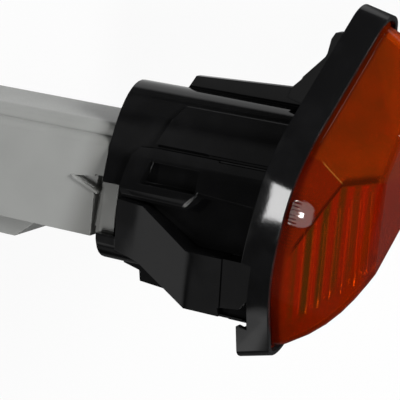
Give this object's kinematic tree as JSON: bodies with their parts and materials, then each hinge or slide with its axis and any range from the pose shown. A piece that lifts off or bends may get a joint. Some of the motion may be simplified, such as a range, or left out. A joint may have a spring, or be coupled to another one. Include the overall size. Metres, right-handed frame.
{
  "type": "side repeater lamp",
  "caption": "Wing-mounted side repeater lamp: teardrop amber lens in a black moulded housing, with a bulb holder and connector plugged into its tail.",
  "frame": {"origin": "middle of the plane in which the housing's edge rests on the body panel", "axes": "+X along the lens towards its blunt end, +Y square to the panel into the car, +Z across the lens, upwards on the car"},
  "size_m": [0.0875, 0.1135, 0.0468],
  "materials": {
    "lens": "clear amber moulded plastic, polished outside, fluted inside",
    "housing": "black moulded plastic with a soft gloss",
    "holder": "grey moulded plastic, fine satin",
    "seal": "black rubber ring",
    "contact": "tinned strip",
    "glass": "amber tinted bulb glass",
    "lead": "bare wire",
    "filament": "dark drawn wire"
  },
  "bodies": {
    "root": {"lens": "lens", "housing": "housing", "bulb_holder": "holder", "holder_seal": "seal", "contact_upper": "contact", "contact_lower": "contact", "bulb_glass": "glass", "bulb_lead_upper": "lead", "bulb_lead_lower": "lead", "filament": "filament"}
  },
  "joints": []
}
